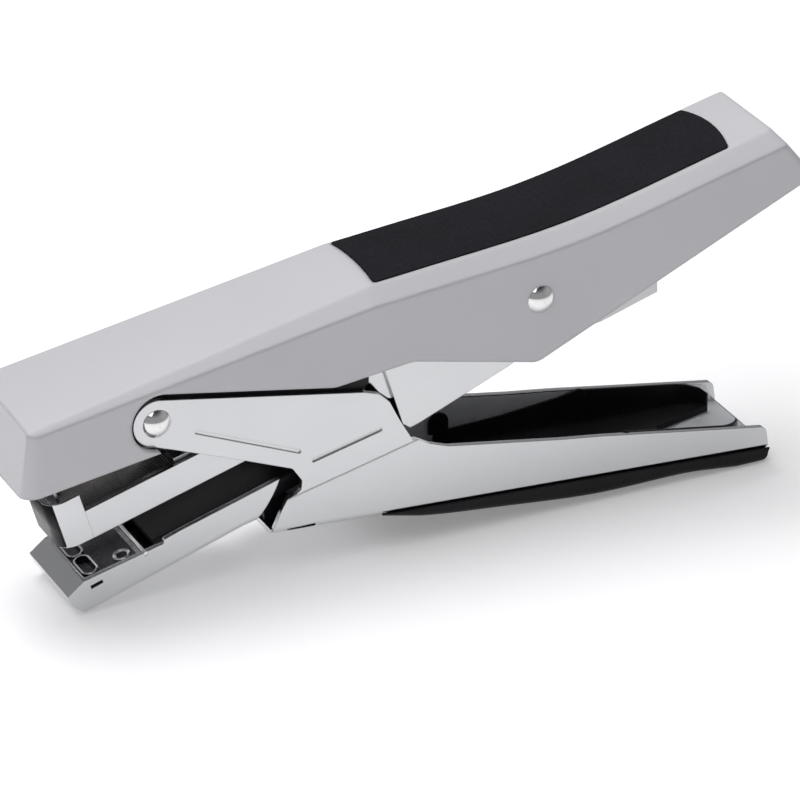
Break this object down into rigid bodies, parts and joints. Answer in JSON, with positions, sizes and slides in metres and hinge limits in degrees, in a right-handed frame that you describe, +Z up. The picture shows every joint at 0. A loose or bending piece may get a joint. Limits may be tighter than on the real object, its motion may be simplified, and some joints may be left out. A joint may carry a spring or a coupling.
{
  "type": "plier stapler",
  "caption": "Hand-held plier stapler with a moulded upper handle, a sprung sheet-metal lower handle, a hinged magazine and a jaw with a clinching anvil.",
  "frame": {"origin": "On the surface that the stapler stands on, under the middle of its box", "axes": "+X from the nose to the tail of the handles, +Y across the stapler, +Z up; standing at rest on the jaw and the lower grip"},
  "size_m": [0.1807, 0.0332, 0.0789],
  "materials": {
    "cover_plastic": "light grey moulded plastic, fine satin texture",
    "inlay_rubber": "matte black soft rubber",
    "black_steel": "black painted steel sheet, semi-gloss",
    "chrome_sheet": "bright chrome-plated steel sheet",
    "chrome_rivet": "polished chrome-plated rivet",
    "spring_steel": "bright spring steel",
    "tool_steel": "ground hardened steel",
    "staple_wire": "galvanised staple wire",
    "black_plastic": "black moulded plastic, satin",
    "latch_plastic": "light grey moulded plastic"
  },
  "bodies": {
    "upper_handle": {"upper_cover": "cover_plastic", "rubber_inlay": "inlay_rubber", "upper_frame": "black_steel", "driver_blade": "tool_steel", "driver_rivets": "chrome_rivet", "cover_screws": "black_steel", "front_pivot_rivet": "chrome_rivet", "rear_pivot_rivet": "chrome_rivet", "front_pivot_washers": "black_plastic", "rear_pivot_bush": "tool_steel", "return_spring": "spring_steel", "latch_pin": "tool_steel"},
    "lower_handle": {"lower_handle": "chrome_sheet", "lower_grip": "black_plastic", "grip_liner": "black_plastic", "thrust_saddle": "black_plastic", "saddle_rivets": "chrome_rivet"},
    "anvil_arm": {"jaw_channel": "chrome_sheet", "anvil_plate": "tool_steel", "anvil_eyelets": "chrome_rivet", "anvil_arm": "black_steel", "arm_pivot_plates": "chrome_sheet", "arm_rivets": "chrome_rivet", "jaw_cross_rod": "chrome_rivet"},
    "magazine": {"magazine_channel": "chrome_sheet", "magazine_nose": "chrome_sheet", "staple_rail": "chrome_sheet", "staple_strip": "staple_wire", "magazine_pivot_plates": "chrome_sheet", "magazine_end_block": "black_plastic", "pusher_rod": "tool_steel", "pusher_spring": "spring_steel", "spring_seat": "black_plastic"},
    "staple_pusher": {"staple_pusher": "tool_steel"},
    "loading_latch": {"loading_latch": "latch_plastic"}
  },
  "joints": [
    {"name": "handle_hinge", "type": "hinge", "parent": "upper_handle", "child": "lower_handle", "pos_m": [-0.0607, 0, 0.0421], "axis": [0, -1, 0], "range_deg": [0, 18], "stiffness_Nm_per_rad": 1.5, "springref_deg": -22.92},
    {"name": "arm_hinge", "type": "hinge", "parent": "upper_handle", "child": "anvil_arm", "pos_m": [0.0256, 0, 0.0524], "axis": [0, 1, 0], "range_deg": [0, 7.75]},
    {"name": "magazine_hinge", "type": "hinge", "parent": "upper_handle", "child": "magazine", "pos_m": [0.0256, 0, 0.0524], "axis": [0, 1, 0], "range_deg": [0, 4.2], "deforming": ["return_spring"]},
    {"name": "pusher_slide", "type": "slide", "parent": "magazine", "child": "staple_pusher", "axis": [0.96, 0, 0.2798], "range_m": [0, 0.018], "stiffness_N_per_m": 60, "springref_m": -0.01, "deforming": ["pusher_spring"]},
    {"name": "latch_hinge", "type": "hinge", "parent": "upper_handle", "child": "loading_latch", "pos_m": [0.047, 0, 0.058], "axis": [0, 1, 0], "range_deg": [0, 12], "stiffness_Nm_per_rad": 0.02, "springref_deg": -11.46}
  ],
  "couplings": [
    {"joint": "arm_hinge", "follows": "handle_hinge", "ratio": 0.43},
    {"joint": "magazine_hinge", "follows": "handle_hinge", "ratio": 0.2333}
  ]
}
